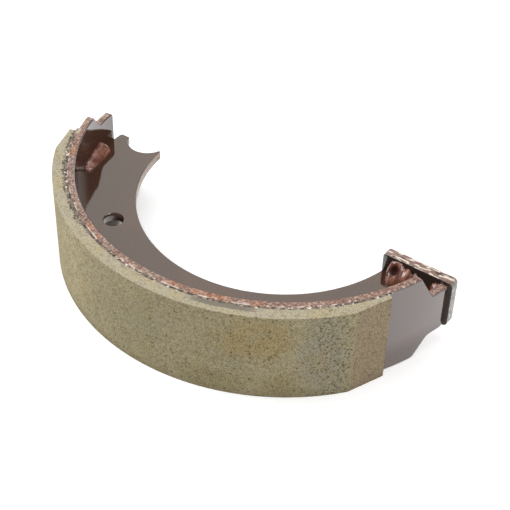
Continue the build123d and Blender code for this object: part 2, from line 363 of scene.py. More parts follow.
def rimEdgeColour(tree, place, turn):
    # Pinkish steel with streaks, copper and orange stretches, and grain
    look = paintLook
    edge = blend(tree, mottled(tree, place, look["rimStreaks"]), look["sheared"], look["shearedCopper"])
    copper = stretches(tree, turn, look["copperStretches"], 2.0)
    edge = blend(tree, times(tree, copper, 0.8), edge, look["shearedCopper"])
    orange = stretches(tree, turn, look["orangeStretches"], 1.0)
    edge = blend(tree, times(tree, orange, mottled(tree, place, look["ragged"])), edge, look["shearedOrange"])
    grain = cloud(tree, place, *look["grainNoise"])
    edge = blend(tree, ramp(tree, grain, 0.5, 0.68, 0.0, 0.5), edge, look["shearedPale"])
    return blend(tree, ramp(tree, grain, 0.5, 0.32, 0.0, 0.7), edge, look["shearedDark"])


def makeRimPaint():
    look = paintLook
    material, tree, shader, place = startMaterial("maroonPaintRim", {})
    ring, turn = placeOnRing(tree)
    outward = outwardFacing(tree)
    sheared = ramp(tree, maths(tree, "ABSOLUTE", outward), 0.6, 0.35)
    edge = rimEdgeColour(tree, place, turn)
    # pits and bright nicks crowd towards the bonded side; the nicks are partly real and partly painted glints
    outerHalf = ramp(tree, ring["Radius"], *look["pitRadii"])
    coarse = stretches(tree, turn, look["pittedStretches"], 4.0)
    pitted = times(tree, mottled(tree, place, look["pits"]),
                   between(tree, coarse, 0.35, 0.85), between(tree, outerHalf, 0.4, 1.0))
    edge = blend(tree, pitted, edge, look["shearedDark"])
    # painted highlights: pale spots on the rolled outer edge at the listed stretches are painted glints, and
    # the pale nicks towards the bonded side are partly real nicks and partly painted glints; bright joins
    # both
    paintedHighlights = times(tree, mottled(tree, place, look["paintedHighlightSpots"]), ramp(tree, ring["Radius"], *look["rollRadii"]),
                stretches(tree, turn, look["paintedHighlightStretches"], 0.5))
    nicksAndGlintsMask = times(tree, mottled(tree, place, look["nicksAndGlints"]), outerHalf, 0.7)
    bright = times(tree, maths(tree, "MAXIMUM", paintedHighlights, nicksAndGlintsMask), ramp(tree, outward, 0.9, 0.8))
    edge = blend(tree, bright, edge, look["shearedPale"])
    seam = maths(tree, "MAXIMUM", sheared, bright)
    colour = blend(tree, seam, paintColour(tree, place, look["rimCloud"]), edge)
    rough = between(tree, seam, look["paintRough"], look["shearedRough"])
    # painted shade: a lower IOR near the outer face's lower edge darkens its reflection there
    low = times(tree, ramp(tree, axes(tree, place)["Z"], *look["lowEdge"]), ramp(tree, outward, 0.8, 0.95))
    ior = maths(tree, "SUBTRACT", between(tree, sheared, look["paintIor"], look["shearedIor"]),
                times(tree, low, look["lowReflectionShade"]))
    tree.links.new(ior, shader.inputs["IOR"])
    height = paintHeight(tree, place, look["rimPeelNoise"], look["rimPeelHeight"], sheared)
    finishMaterial(tree, shader, colour, rough, height, look["rimRelief"])
    return material


def makeWebPaint():
    look = paintLook
    material, tree, shader, place = startMaterial("maroonPaintWeb", look["webGloss"])
    steep = ramp(tree, maths(tree, "ABSOLUTE", axes(tree, faceNormal(tree))["Z"]), 0.75, 0.4)
    fromHole = vectorMaths(tree, "DISTANCE", place, look["springHole"])["Value"]
    sheared = times(tree, steep, ramp(tree, fromHole, *look["holeReach"], 0.12, 1.0))
    paint = paintColour(tree, place, look["webCloud"])
    dust = times(tree, speckled(tree, place, look["dust"]), 0.5)
    paint = blend(tree, dust, paint, look["webSheared"])
    edge = blend(tree, mottled(tree, place, look["webStreaks"]), look["webSheared"], look["sheared"])
    colour = blend(tree, sheared, paint, edge)
    rough = between(tree, sheared, look["paintRough"], look["shearedRough"])
    tree.links.new(between(tree, sheared, look["paintIor"], look["shearedIor"]), shader.inputs["IOR"])
    height = paintHeight(tree, place, look["webPeelNoise"], look["webPeelHeight"], sheared)
    finishMaterial(tree, shader, colour, rough, height, look["webRelief"])
    return material


rimShape = {
    # the tab at the plate isn't bent as far as the rest: turns in degrees, and how far out it stands there
    "plateEndShift": [(340, 0.0), (351.3, 0.6 * millimetre)],
}


def settleRim(mesh):
    for vertex in mesh.vertices:
        turn = math.degrees(math.atan2(vertex.co.y, vertex.co.x)) % 360
        vertex.co.x += easedTable(turn, rimShape["plateEndShift"])


rimMesh = mergedCopy("rim")
settleRim(rimMesh)
roundNormals(rimMesh)
addPiece("rimStrip", rimMesh, makeRimPaint(), "painted_steel", "rim")
webMesh = mergedCopy("web")
roundNormals(webMesh)
addPiece("webCrescent", webMesh, makeWebPaint(), "painted_steel", "web")
print("rim and web painted")

# abutment plate: sheared block with bright nicks on its edges, partly real nicks and partly painted glints
plateLook = {
    "face": screenColour(40, 30, 25),
    "edge": screenColour(156, 131, 118),
    "edgeRed": screenColour(141, 106, 92),
    "edgeDark": screenColour(74, 55, 46),
    "end": screenColour(136, 134, 130),
    # the colour of the nicks, which are partly painted glints
    "nickGlint": screenColour(244, 228, 216),
    "faceIor": 2.3,
    "edgeIor": 1.5,
    "grainStretch": (0.4, 1.0, 0.6),
    "bands": {"Scale": 480.0, "Detail": 5.0, "Low": 0.4, "High": 0.62},
    "tears": {"Scale": 700.0, "Detail": 4.0, "Low": 0.54, "High": 0.62},
    "nicksAndGlints": {"Scale": 820.0, "Detail": 2.0, "Low": 0.525, "High": 0.56},
    "grainNoise": (900.0, 5.0),
    # painted shade: the strip of the welded face that lies beyond the rim is made dull, so that it mirrors
    # little and reads as a dark gap
    "rimEnds": (72.6 * millimetre, 73.6 * millimetre),
    "relief": {"Strength": 0.8, "Distance": 0.5 * millimetre},
}


def makePlateSteel():
    look = plateLook
    material, tree, shader, place = startMaterial("shearedPlateSteel", {})
    facing = axes(tree, faceNormal(tree))
    sheared = ramp(tree, maths(tree, "ABSOLUTE", facing["Y"]), 0.7, 0.35)
    endFace = ramp(tree, maths(tree, "ABSOLUTE", facing["X"]), 0.5, 0.85)
    stretched = put(tree, "ShaderNodeMapping", {"Vector": place, "Scale": look["grainStretch"]}).outputs[0]
    edge = blend(tree, mottled(tree, stretched, look["bands"]), look["edge"], look["edgeRed"])
    torn = mottled(tree, stretched, look["tears"])
    edge = blend(tree, torn, edge, look["edgeDark"])
    edge = blend(tree, times(tree, endFace, between(tree, torn, 1.0, 0.6)), edge, look["end"])
    # bright nicks on the edges: partly real nicks, partly painted glints
    nicksAndGlintsMask = times(tree, mottled(tree, stretched, look["nicksAndGlints"]), between(tree, endFace, 0.95, 0.45))
    edge = blend(tree, nicksAndGlintsMask, edge, look["nickGlint"])
    colour = blend(tree, sheared, look["face"], edge)
    # painted shade: the strip beyond the rim gets a lower IOR and more roughness, so it reads dark
    shadedStrip = ramp(tree, axes(tree, place)["X"], *look["rimEnds"])
    shadedStrip = times(tree, shadedStrip, ramp(tree, facing["Y"], -0.3, -0.6))
    rough = maths(tree, "MAXIMUM", between(tree, sheared, 0.1, 0.36), times(tree, shadedStrip, 0.5))
    bareAndShaded = maths(tree, "MAXIMUM", sheared, shadedStrip)
    tree.links.new(between(tree, bareAndShaded, look["faceIor"], look["edgeIor"]), shader.inputs["IOR"])
    height = times(tree, cloud(tree, stretched, *look["grainNoise"]), between(tree, sheared, 0.03, 1.0))
    finishMaterial(tree, shader, colour, rough, height, look["relief"])
    return material


addPiece("abutmentBlock", mergedCopy("abutment_plate"), makePlateSteel(), "sheared_steel", "abutment_plate")
print("abutment plate finished")

# lining: moulded friction compound
liningLook = {
    "face": screenColour(169, 158, 125),
    "patches": [
        # turn in degrees and height in millimetres of the middle, half widths in millimetres, colour
        (211, 18, 5, 8, screenColour(150, 140, 118)),
        (245, 22, 11, 22, screenColour(183, 170, 133)),
        (263, 16, 11, 12, screenColour(160, 151, 120)),
        (273, 22, 7, 9, screenColour(159, 151, 123)),
        (294, 20, 6, 10, screenColour(157, 149, 120)),
        (299, 25, 13, 10, screenColour(168, 147, 98)),
        (288, 5, 12, 5, screenColour(150, 138, 100)),
        (306, 5, 8, 5, screenColour(152, 138, 98)),
        (315, 17, 9, 22, screenColour(152, 147, 127)),
    ],
    "faceYellow": screenColour(162, 147, 106),
    "faceGreen": screenColour(158, 150, 120),
    "taper": screenColour(158, 138, 113),
    "side": screenColour(191, 181, 157),
    "sideWarm": screenColour(194, 180, 147),
    "sideGrey": screenColour(188, 179, 158),
    "dark": screenColour(84, 70, 50),
    "shade": screenColour(112, 98, 70),
    "pale": screenColour(196, 188, 162),
    "smear": screenColour(126, 119, 108),
    "gritGrey": screenColour(150, 140, 120),
    "gritDark": screenColour(58, 48, 40),
    "gritPale": screenColour(232, 222, 206),
    "gloss": {"IOR": 1.45, "Specular IOR Level": 0.3},
    "outerRadius": 80.0 * millimetre,
    "taperDepth": (0.05 * millimetre, 0.4 * millimetre),    # where the taper's tint sets in and is full
    "shadedHeight": 3.5 * millimetre,                       # below it the lining gets darker
    # where the compound is coarsest, as middle and half width of the turn in degrees
    "coarseStretches": [(317, 5)],
    # blotches and specks
    "yellowCloud": {"Scale": 150.0, "Low": 0.46, "High": 0.7},
    "greenCloud": {"Scale": 190.0, "Detail": 4.0, "Low": 0.5, "High": 0.7},
    "warmCloud": {"Scale": 130.0, "Low": 0.45, "High": 0.62},
    "coolCloud": {"Scale": 210.0, "Detail": 4.0, "Low": 0.52, "High": 0.64},
    "denseSpots": {"Scale": 800.0, "Low": 0.6, "High": 0.66},
    "grittySpecks": {"Scale": 950.0, "Size": 0.42, "Share": 0.5},
    "tinySpecks": {"Scale": 1150.0, "Size": 0.42, "Share": 0.16},
    "smallSpecks": {"Scale": 560.0, "Size": 0.3, "Share": 0.17},
    "chunks": {"Scale": 1300.0, "Detail": 4.0, "Low": 0.44, "High": 0.56},
    "flecks": {"Scale": 900.0, "Detail": 2.0, "Low": 0.62, "High": 0.65},
    # noises, as scale and detail
    "wanderNoise": (110.0, 4.0),
    "grainNoise": (2400.0, 3.0),
    "coarseNoise": (900.0, 4.0),
    "relief": {"Strength": 0.5, "Distance": 0.2 * millimetre},
    # what lies on the side face along the bond: first and last turn and the fade at each, in degrees,
    # then the radius that it reaches, how ragged and how soft its edge is, and that edge's noise
    "pressedGrit": {"turns": (192, 252), "fades": (5, 14), "reach": 76.6 * millimetre,
                    "ragged": 3.0 * millimetre, "soft": 0.3 * millimetre, "edgeNoise": (620.0, 4.0)},
    "smearedAdhesive": {"turns": (281, 301), "fades": (4, 5), "reach": 77.8 * millimetre,
                        "ragged": 1.2 * millimetre, "soft": 0.4 * millimetre, "edgeNoise": (260.0, 3.0)},
}


def liningFace(tree, place, ring, turn, wander):
    # Broad patches, then small clouds, then the tint of the tapered ends
    look = liningLook
    perDegree = math.radians(look["outerRadius"]) / millimetre
    face = look["face"]
    for middle, level, wide, tall, tint in look["patches"]:
        across = maths(tree, "DIVIDE", maths(tree, "SUBTRACT", turn, float(middle)), wide / perDegree)
        height = maths(tree, "SUBTRACT", ring["Height"], level * millimetre)
        height = maths(tree, "DIVIDE", height, tall * millimetre)
        away = maths(tree, "ADD", times(tree, across, across), times(tree, height, height))
        patch = ramp(tree, maths(tree, "ADD", away, wander), 1.5, 0.1, 0.0, 0.9)
        face = blend(tree, patch, face, tint)
    face = blend(tree, times(tree, mottled(tree, place, look["yellowCloud"]), 0.6), face, look["faceYellow"])
    face = blend(tree, times(tree, mottled(tree, place, look["greenCloud"]), 0.6), face, look["faceGreen"])
    first, full = look["taperDepth"]
    tapered = ramp(tree, ring["Radius"], look["outerRadius"] - first, look["outerRadius"] - full)
    return blend(tree, times(tree, tapered, 0.85), face, look["taper"])


def liningSide(tree, place):
    look = liningLook
    side = blend(tree, mottled(tree, place, look["warmCloud"]), look["side"], look["sideWarm"])
    return blend(tree, mottled(tree, place, look["coolCloud"]), side, look["sideGrey"])


def liningSpots(tree, place, turn):
    # Specks of several sizes, crowded where the compound is coarse
    look = liningLook
    crowded = stretches(tree, turn, look["coarseStretches"], 2.5)
    dense = times(tree, mottled(tree, place, look["denseSpots"]), between(tree, crowded, 0.5, 1.0))
    gritty = times(tree, speckled(tree, place, look["grittySpecks"]), crowded)
    tiny = times(tree, speckled(tree, place, look["tinySpecks"]), 0.7)
    small = speckled(tree, place, look["smallSpecks"])
    return maths(tree, "MAXIMUM", maths(tree, "MAXIMUM", tiny, small), maths(tree, "MAXIMUM", dense, gritty))


def alongBond(tree, place, ring, turn, band):
    # 1 on a ragged band beside the bond, between two turns
    first, last = band["turns"]
    fadeIn, fadeOut = band["fades"]
    edge = times(tree, cloud(tree, place, *band["edgeNoise"]), band["ragged"])
    outer = band["reach"] + band["ragged"] / 2
    return times(tree, ramp(tree, turn, first, first + fadeIn), ramp(tree, turn, last, last - fadeOut),
                 ramp(tree, maths(tree, "ADD", ring["Radius"], edge), outer, outer - band["soft"]))


def makeLiningCompound():
    look = liningLook
    material, tree, shader, place = startMaterial("liningCompound", look["gloss"])
    ring, turn = placeOnRing(tree)
    sideFace = ramp(tree, maths(tree, "ABSOLUTE", ring["Upward"]), 0.5, 0.8)
    wander = times(tree, maths(tree, "SUBTRACT", cloud(tree, place, *look["wanderNoise"]), 0.5), 1.6)
    colour = blend(tree, sideFace, liningFace(tree, place, ring, turn, wander), liningSide(tree, place))
    # grain of the compound, at two sizes
    grain = cloud(tree, place, *look["grainNoise"])
    coarse = cloud(tree, place, *look["coarseNoise"])
    colour = blend(tree, ramp(tree, grain, 0.48, 0.68, 0.0, 0.55), colour, look["pale"])
    colour = blend(tree, ramp(tree, grain, 0.5, 0.3, 0.0, 0.75), colour, look["shade"])
    colour = blend(tree, ramp(tree, coarse, 0.5, 0.34, 0.0, 0.35), colour, look["shade"])
    height = maths(tree, "ADD", ring["Height"], times(tree, wander, 2.0 * millimetre))
    lowerEdge = ramp(tree, height, look["shadedHeight"], 0.0)
    colour = blend(tree, times(tree, lowerEdge, 0.3), colour, look["shade"])
    spots = liningSpots(tree, place, turn)
    colour = blend(tree, times(tree, spots, between(tree, sideFace, 0.66, 0.3)), colour, look["dark"])
    # grit and adhesive pressed into the side face, then adhesive smeared over it
    chunks = blend(tree, mottled(tree, place, look["chunks"]), look["gritGrey"], look["gritDark"])
    chunks = blend(tree, mottled(tree, place, look["flecks"]), chunks, look["gritPale"])
    pressed = times(tree, alongBond(tree, place, ring, turn, look["pressedGrit"]), sideFace)
    colour = blend(tree, times(tree, pressed, 0.9), colour, chunks)
    smeared = times(tree, alongBond(tree, place, ring, turn, look["smearedAdhesive"]), sideFace)
    colour = blend(tree, times(tree, smeared, 0.85), colour, look["smear"])
    rough = between(tree, grain, 0.82, 0.95)
    relief = maths(tree, "SUBTRACT", times(tree, grain, 0.6), spots)
    finishMaterial(tree, shader, colour, rough, relief, look["relief"])
    return material


liningMesh = mergedCopy("lining", sharpAngle=25)
roundNormals(liningMesh)
addPiece("liningSegment", liningMesh, makeLiningCompound(), "friction_lining", "lining")
print("lining finished")

# bond: the film, and the adhesive squeezed out along it
squeezeLook = {
    "film": screenColour(122, 104, 88),
    "dark": screenColour(60, 50, 42),
    "grey": screenColour(176, 160, 140),
    "bright": screenColour(238, 222, 206),
    "gloss": {"IOR": 1.55},
    "greyCloud": {"Scale": 260.0, "Detail": 4.0, "Low": 0.42, "High": 0.6},
    "hollows": {"Scale": 900.0, "Low": 0.5, "High": 0.56},
    "sparks": {"Scale": 520.0, "Detail": 2.0, "Low": 0.6, "High": 0.64},
    "reliefNoise": (1400.0, 3.0),
    "relief": {"Strength": 0.7, "Distance": 0.3 * millimetre},
    # the path of the bead: its radius, first and last turn in degrees, and steps between them
    "radius": 75.2 * millimetre,
    "turns": (201.6, 332.4),
    "steps": 260,
    "sideInset": 0.14 * millimetre,    # from the lining's side faces to the middle of the bead
    "clearance": 0.01 * millimetre,    # from the side faces to the bead's highest grit
    "thickness": 0.5 * millimetre,
    # degrees round the drum, share of the thickness there
    "swell": [(201, 1.3), (212, 1.6), (220, 1.8), (240, 1.7), (250, 1.1), (275, 0.9), (292, 0.7),
              (333, 0.55)],
    "stride": 0.35 * millimetre,       # between the sections of the bead
    "around": 7,
    "widthNoise": {"Scale": 380.0, "Detail": 2.0},
    "widthShares": (0.5, 1.35),        # narrowest and widest
    "lumpNoise": {"Scale": 1300.0, "Detail": 2.0},
    "lumpiness": 0.4 * millimetre,
    "gritPerSquareMetre": 1100000.0,
    "gritSize": 0.11 * millimetre,
    "gritSpread": (0.4, 1.8),          # smallest and largest grain, as shares of that size
    "seed": 7,
}


def makeAdhesive():
    look = squeezeLook
    material, tree, shader, place = startMaterial("grittyAdhesive", look["gloss"])
    grey = mottled(tree, place, look["greyCloud"])
    colour = blend(tree, grey, look["film"], look["grey"])
    colour = blend(tree, mottled(tree, place, look["hollows"]), colour, look["dark"])
    colour = blend(tree, mottled(tree, place, look["sparks"]), colour, look["bright"])
    height = cloud(tree, place, *look["reliefNoise"])
    finishMaterial(tree, shader, colour, between(tree, grey, 0.3, 0.6), height, look["relief"])
    return material


def makeSqueezeTree():
    # A lumpy bead that follows the piece's edges, with grit on it, kept between two heights
    look = squeezeLook
    tree = bpy.data.node_groups.new("squeezedBead", "GeometryNodeTree")
    kinds = {"Geometry": "NodeSocketGeometry", "Seed": "NodeSocketInt", "Material": "NodeSocketMaterial"}
    for label in ("Geometry", "Thickness", "Lumpiness", "Grit Density", "Grit Size", "Lowest", "Highest",
                  "Seed", "Material"):
        kind = kinds.get(label, "NodeSocketFloat")
        tree.interface.new_socket(label, in_out="INPUT", socket_type=kind)
    tree.interface.new_socket("Geometry", in_out="OUTPUT", socket_type="NodeSocketGeometry")
    given = tree.nodes.new("NodeGroupInput").outputs
    result = tree.nodes.new("NodeGroupOutput").inputs
    line = put(tree, "GeometryNodeMeshToCurve", {"Mesh": given["Geometry"]}).outputs[0]
    line = put(tree, "GeometryNodeResampleCurve", {"Curve": line, "Length": look["stride"]},
               mode="LENGTH").outputs[0]
    uneven = put(tree, "ShaderNodeTexNoise", look["widthNoise"]).outputs["Fac"]
    swell = put(tree, "GeometryNodeInputNamedAttribute", {"Name": "swell"}, data_type="FLOAT").outputs[0]
    width = times(tree, ramp(tree, uneven, 0.3, 0.7, *look["widthShares"]), swell)
    line = put(tree, "GeometryNodeSetCurveRadius", {"Curve": line, "Radius": width}).outputs[0]
    section = put(tree, "GeometryNodeCurvePrimitiveCircle",
                  {"Resolution": look["around"], "Radius": given["Thickness"]}).outputs["Curve"]
    radius = tree.nodes.new("GeometryNodeInputRadius").outputs[0]
    bead = put(tree, "GeometryNodeCurveToMesh",
               {"Curve": line, "Profile Curve": section, "Scale": radius, "Fill Caps": True}).outputs[0]
    lump = put(tree, "ShaderNodeTexNoise", look["lumpNoise"]).outputs["Color"]
    shift = scaled(tree, vectorMaths(tree, "SUBTRACT", lump, (0.5, 0.5, 0.5))[0], given["Lumpiness"])
    bead = put(tree, "GeometryNodeSetPosition", {"Geometry": bead, "Offset": shift}).outputs[0]
    points = put(tree, "GeometryNodeDistributePointsOnFaces",
                 {"Mesh": bead, "Density": given["Grit Density"], "Seed": given["Seed"]}).outputs["Points"]
    grain = put(tree, "GeometryNodeMeshIcoSphere",
                {"Radius": given["Grit Size"], "Subdivisions": 1}).outputs["Mesh"]
    smallest, largest = look["gritSpread"]
    size = put(tree, "FunctionNodeRandomValue", {2: smallest, 3: largest, "Seed": given["Seed"]},
               data_type="FLOAT").outputs[1]
    grit = put(tree, "GeometryNodeInstanceOnPoints",
               {"Points": points, "Instance": grain, "Scale": size}).outputs[0]
    grit = put(tree, "GeometryNodeRealizeInstances", {"Geometry": grit}).outputs[0]
    both = tree.nodes.new("GeometryNodeJoinGeometry")
    tree.links.new(bead, both.inputs[0])
    tree.links.new(grit, both.inputs[0])
    spot = axes(tree, tree.nodes.new("GeometryNodeInputPosition").outputs[0])
    level = maths(tree, "MINIMUM", maths(tree, "MAXIMUM", spot["Z"], given["Lowest"]), given["Highest"])
    kept = put(tree, "ShaderNodeCombineXYZ", {"X": spot["X"], "Y": spot["Y"], "Z": level}).outputs[0]
    pressed = put(tree, "GeometryNodeSetPosition", {"Geometry": both.outputs[0], "Position": kept}).outputs[0]
    realized = put(tree, "GeometryNodeRealizeInstances", {"Geometry": pressed}).outputs[0]
    finished = put(tree, "GeometryNodeSetMaterial",
                   {"Geometry": realized, "Material": given["Material"]}).outputs[0]
    tree.links.new(finished, result["Geometry"])
    return tree


def makeSqueezePath(levels):
    # One edge path per level round the bond, with the share of the thickness at each point
    look = squeezeLook
    first, last = look["turns"]
    steps = look["steps"]
    points, edges, swells = [], [], []
    for level in levels:
        start = len(points)
        for step in range(steps + 1):
            turn = math.radians(first + (last - first) * step / steps)
            points.append((look["radius"] * math.cos(turn), look["radius"] * math.sin(turn), level))
            swells.append(easedTable(math.degrees(turn), look["swell"]))
        edges += [(start + step, start + step + 1) for step in range(steps)]
    path = bpy.data.meshes.new("squeezePath")
    path.from_pydata(points, edges, [])
    path.attributes.new("swell", "FLOAT", "POINT").data.foreach_set("value", swells)
    return path


def makeSqueeze(material):
    look = squeezeLook
    low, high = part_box("lining")
    path = makeSqueezePath((low.z + look["sideInset"], high.z - look["sideInset"]))
    carrier = bpy.data.objects.new("squeezeCarrier", path)
    bpy.context.scene.collection.objects.link(carrier)
    modifier = carrier.modifiers.new("bead", "NODES")
    modifier.node_group = makeSqueezeTree()
    values = {"Thickness": look["thickness"], "Lumpiness": look["lumpiness"], "Seed": look["seed"],
              "Grit Density": look["gritPerSquareMetre"], "Grit Size": look["gritSize"], "Material": material,
              "Lowest": low.z + look["clearance"], "Highest": high.z - look["clearance"]}
    for socket in modifier.node_group.interface.items_tree:
        if socket.in_out == "INPUT" and socket.name in values:
            modifier[socket.identifier] = values[socket.name]
    ready = carrier.evaluated_get(bpy.context.evaluated_depsgraph_get())
    mesh = bpy.data.meshes.new_from_object(ready)
    bpy.data.objects.remove(carrier)
    smoothMesh(mesh, sharpAngle=60)
    return addPiece("adhesiveSqueeze", mesh, material, "bond_adhesive")


adhesive = makeAdhesive()
addPiece("adhesiveFilm", mergedCopy("bond_layer"), adhesive, "bond_adhesive", "bond_layer")
squeezePiece = makeSqueeze(adhesive)
print("adhesive squeezed out, faces:", len(squeezePiece.data.polygons))

# weld beads
weldLook = {
    "red": screenColour(108, 58, 43),
    "copper": screenColour(152, 95, 75),
    # dark is also the painted shade in the weld crater and in reflections
    "dark": screenColour(50, 26, 20),
    "ior": 1.85,
    "hollowIor": 1.15,
    # painted shade in reflections: how far the beads turn dark in reflected rays
    "reflectionShade": 0.75,                # share of a bead's colour that is lost in reflections
    "copperCloud": {"Scale": 210.0, "Low": 0.4, "High": 0.62},
    "reliefNoise": (420.0, 3.0),
    "relief": {"Strength": 0.15, "Distance": 0.3 * millimetre},
    # the corners that the beads fill
    "webTop": 19.25 * millimetre,
    "webBottom": 15.75 * millimetre,
    "rimInner": 72.2 * millimetre,
    "plateFace": -11.5 * millimetre,
    "sink": 0.5 * millimetre,          # how far a bead goes into the steel
    "overlap": 0.3 * millimetre,       # how far the tab bead starts inside the web
    "fullness": 1.1,                   # power of the round section: 1 is a quarter ellipse
    "rippleLag": 1.2 * millimetre,
    "lumpScale": (450.0, 1.6),         # of the noise, along the bead and round its section
    "stations": 96,
    "around": 21,
}


def makeWeldPaint():
    look = weldLook
    material, tree, shader, place = startMaterial("weldBeadPaint", {})
    copper = mottled(tree, place, look["copperCloud"])
    colour = blend(tree, copper, look["red"], look["copper"])
    hollow = put(tree, "ShaderNodeAttribute", attribute_name="hollow").outputs["Fac"]
    # painted shade: the crater is darkened, and a lower IOR damps its reflection
    colour = blend(tree, ramp(tree, hollow, 0.1, 0.7), colour, look["dark"])
    # painted shade in reflections: seen by reflected rays the beads turn towards the dark colour, so the
    # painted rim mirrors them only faintly
    mirrored = tree.nodes.new("ShaderNodeLightPath").outputs["Is Glossy Ray"]
    colour = blend(tree, times(tree, mirrored, look["reflectionShade"]), colour, look["dark"])
    rough = maths(tree, "MAXIMUM", between(tree, copper, 0.12, 0.2), times(tree, hollow, 0.6))
    tree.links.new(ramp(tree, hollow, 0.15, 0.6, look["ior"], look["hollowIor"]), shader.inputs["IOR"])
    finishMaterial(tree, shader, colour, rough, cloud(tree, place, *look["reliefNoise"]), look["relief"])
    return material


def beadSection(share, along, bead, up):
    # Points of the section across the corner, and how deep in the crater each of them lies
    look = weldLook
    leg = bead["leg"] * easedTable(share, bead["legSwell"])
    rise = bead["rise"] * easedTable(share, bead.get("riseSwell", bead["legSwell"]))
    lengthwise, roundwise = look["lumpScale"]
    section, hollows = [], []
    for step in range(look["around"]):
        angle = math.pi / 2 * step / (look["around"] - 1)
        place = along + look["rippleLag"] * math.sin(2 * angle)
        swell = 1 + bead["ripple"] * math.sin(2 * math.pi * place / bead["pitch"])
        spot = Vector((along * lengthwise, angle * roundwise, bead["seed"] * up))
        swell += bead["lumps"] * noise.noise(spot)
        pit = 0.0
        if "crater" in bead:
            middle, width, tilt, spread, deep = bead["crater"]
            pit = math.exp(-((share - middle) / width) ** 2 - ((angle - tilt) / spread) ** 2)
            swell -= deep * pit
        section.append((leg * math.cos(angle) ** look["fullness"] * swell,
                        rise * math.sin(angle) ** look["fullness"] * swell))
        hollows.append(pit)
    sink = look["sink"]
    section += [(-sink, section[-1][1]), (-sink, -sink), (section[0][0], -sink)]
    return section, hollows + [0.0] * 3


def beadMesh(name, cornerAt, bead, up):
    # cornerAt(share) gives the corner point, the ways of the leg and of the rise, and the length so far
    stations = weldLook["stations"]
    points, hollows = [], []
    for station in range(stations + 1):
        share = station / stations
        corner, legWay, riseWay, along = cornerAt(share)
        section, pits = beadSection(share, along, bead, up)
        points += [corner + legWay * a + riseWay * b for a, b in section]
        hollows += pits
    size = len(section)
    faces = []
    for station in range(stations):
        here, there = station * size, (station + 1) * size
        for near in range(size):
            far = (near + 1) % size
            faces.append((here + near, here + far, there + far, there + near))
    faces.append(tuple(range(size)))
    faces.append(tuple(range(stations * size + size - 1, stations * size - 1, -1)))
    mesh = bpy.data.meshes.new(name)
    mesh.from_pydata([tuple(point) for point in points], [], faces)
    mesh.attributes.new("hollow", "FLOAT", "POINT").data.foreach_set("value", hollows)
    mergeDoubles(mesh, turnOutward=True)
    smoothMesh(mesh, sharpAngle=70)
    return mesh


# leg and rise are the bead's reach along and up from the corner, and each swell table holds (share of
# the bead's length, share of that reach); the rise follows the leg's table where it has none of its own
rimBead = {
    "turns": (191.8, 204.9),    # degrees round the drum
    "leg": 4.3 * millimetre,
    "rise": 2.8 * millimetre,
    "legSwell": [(0, 0.02), (0.02, 0.5), (0.06, 0.86), (0.12, 1.0), (0.35, 0.98), (0.75, 0.74), (0.92, 0.56),
                 (0.98, 0.34), (1, 0.02)],
    "ripple": 0.004,
    "pitch": 2.1 * millimetre,
    "lumps": 0.04,
    "seed": 3.1,
}
plateBead = {
    "ends": (52.3 * millimetre, 64.6 * millimetre),
    "leg": 5.2 * millimetre,
    "rise": 6.6 * millimetre,
    "legSwell": [(0, 0.05), (0.04, 0.45), (0.12, 0.8), (0.24, 1.0), (0.36, 0.98), (0.5, 0.68),
                 (0.63, 0.76), (0.74, 0.44), (0.85, 0.5), (0.95, 0.3), (1, 0.02)],
    "riseSwell": [(0, 0.1), (0.04, 0.62), (0.12, 0.9), (0.25, 1.0), (0.38, 0.98), (0.52, 0.74),
                  (0.63, 0.84), (0.74, 0.6), (0.85, 0.78), (0.95, 0.6), (0.98, 0.35), (1, 0.03)],
    # middle and width along the bead, middle and width round its section, depth
    "crater": (0.29, 0.14, 0.95, 0.42, 0.34),
    "ripple": 0.0,
    "pitch": 2.4 * millimetre,
    "lumps": 0.02,
    "seed": 5.7,
}
tabBead = {
    "length": 5.3 * millimetre,
    "leg": 3.0 * millimetre,
    "rise": 2.5 * millimetre,
    "legSwell": [(0, 1.0), (0.5, 0.95), (0.8, 0.72), (0.95, 0.4), (1, 0.03)],
    "ripple": 0.01,
    "pitch": 2.0 * millimetre,
    "lumps": 0.04,
    "seed": 8.3,
}


def makeWelds(material):
    look = weldLook
    sides = (("Upper", "upper", look["webTop"], 1.0), ("Lower", "lower", look["webBottom"], -1.0))
    for label, node, level, up in sides:
        upright = Vector((0, 0, up))

        def rimCorner(share):
            first, last = rimBead["turns"]
            turn = math.radians(first + (last - first) * share)
            ray = Vector((math.cos(turn), math.sin(turn), 0))
            along = look["rimInner"] * math.radians(last - first) * share
            return ray * look["rimInner"] + Vector((0, 0, level)), -ray, upright, along

        def plateCorner(share):
            first, last = plateBead["ends"]
            x = first + (last - first) * share
            return Vector((x, look["plateFace"], level)), Vector((0, -1, 0)), upright, x - first

        def tabCorner(share):
            x = math.sqrt(look["rimInner"] ** 2 - look["plateFace"] ** 2)
            along = tabBead["length"] * share
            corner = Vector((x, look["plateFace"], level + up * (along - look["overlap"])))
            return corner, Vector((-1, 0, 0)), Vector((0, -1, 0)), along

        for name, replaced, cornerAt, bead in (("rimWeld", "rim_weld_", rimCorner, rimBead),
                                               ("plateWeld", "plate_weld_", plateCorner, plateBead),
                                               ("tabWeld", "tab_weld_", tabCorner, tabBead)):
            mesh = beadMesh(name + label, cornerAt, bead, up)
            addPiece(name + label, mesh, material, "weld_steel", replaced + node)


makeWelds(makeWeldPaint())
print("weld beads laid")

